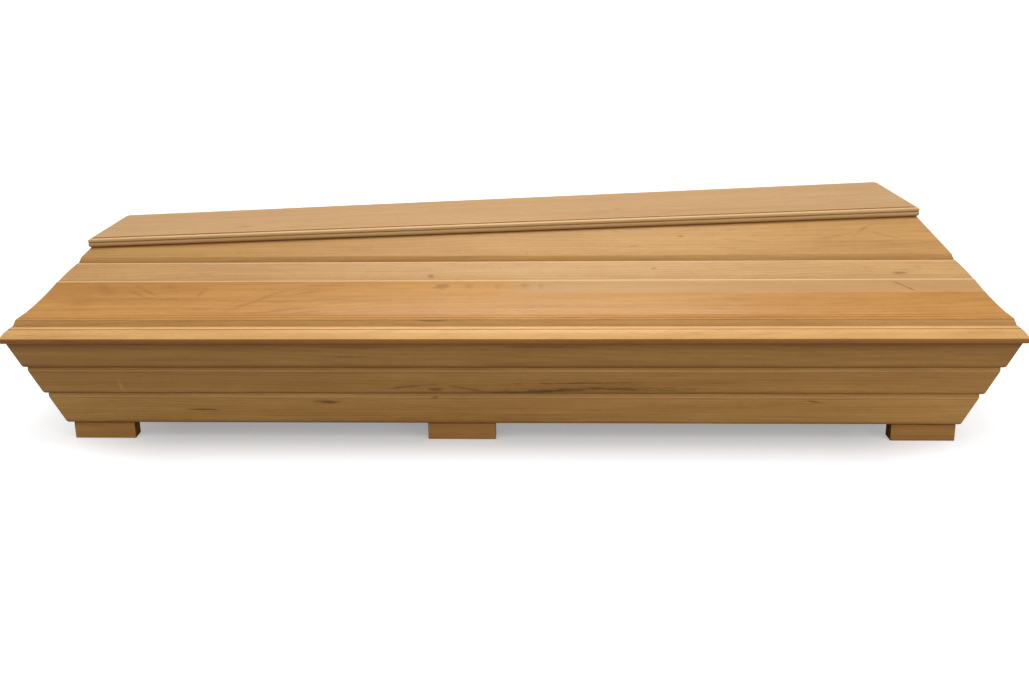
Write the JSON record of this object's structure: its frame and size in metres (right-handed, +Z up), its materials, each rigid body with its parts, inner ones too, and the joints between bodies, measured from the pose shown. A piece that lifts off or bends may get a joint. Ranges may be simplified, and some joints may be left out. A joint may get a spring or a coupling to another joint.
{
  "type": "wooden coffin",
  "caption": "Tapered wooden coffin with stepped leaning walls on block feet and a loose moulded lid whose flat top panel rises towards the head.",
  "frame": {"origin": "on the ground under the middle of the lid's rim", "axes": "+Z up, +X towards the head end, -Y towards the front that the picture shows"},
  "size_m": [2.06, 0.71, 0.4746],
  "materials": {
    "body_boards": "satin clear lacquer on light hardwood",
    "blocks": "satin clear lacquer on light hardwood",
    "floor": "bare planed wood",
    "lid_rim": "satin clear lacquer on light hardwood",
    "lid_cove": "satin clear lacquer on light hardwood",
    "lid_shoulder": "satin clear lacquer on light hardwood",
    "lid_upper": "satin clear lacquer on light hardwood",
    "lid_panel": "satin clear lacquer on light hardwood"
  },
  "bodies": {
    "root": {"body_lower_board_front": "body_boards", "body_lower_board_back": "body_boards", "body_lower_board_foot_end": "body_boards", "body_lower_board_head_end": "body_boards", "body_middle_board_front": "body_boards", "body_middle_board_back": "body_boards", "body_middle_board_foot_end": "body_boards", "body_middle_board_head_end": "body_boards", "body_upper_board_front": "body_boards", "body_upper_board_back": "body_boards", "body_upper_board_foot_end": "body_boards", "body_upper_board_head_end": "body_boards", "lid_rim_front": "lid_rim", "lid_rim_back": "lid_rim", "lid_rim_foot_end": "lid_rim", "lid_rim_head_end": "lid_rim", "lid_cove_board_front": "lid_cove", "lid_cove_board_back": "lid_cove", "lid_cove_board_foot_end": "lid_cove", "lid_cove_board_head_end": "lid_cove", "lid_shoulder_board_front": "lid_shoulder", "lid_shoulder_board_back": "lid_shoulder", "lid_shoulder_board_foot_end": "lid_shoulder", "lid_shoulder_board_head_end": "lid_shoulder", "lid_upper_board_front": "lid_upper", "lid_upper_board_back": "lid_upper", "lid_upper_board_foot_end": "lid_upper", "lid_upper_board_head_end": "lid_upper", "floor_board": "floor", "lid_top_panel": "lid_panel", "block_foot_end_front": "blocks", "block_foot_end_back": "blocks", "block_middle_front": "blocks", "block_middle_back": "blocks", "block_head_end_front": "blocks", "block_head_end_back": "blocks"}
  },
  "joints": []
}
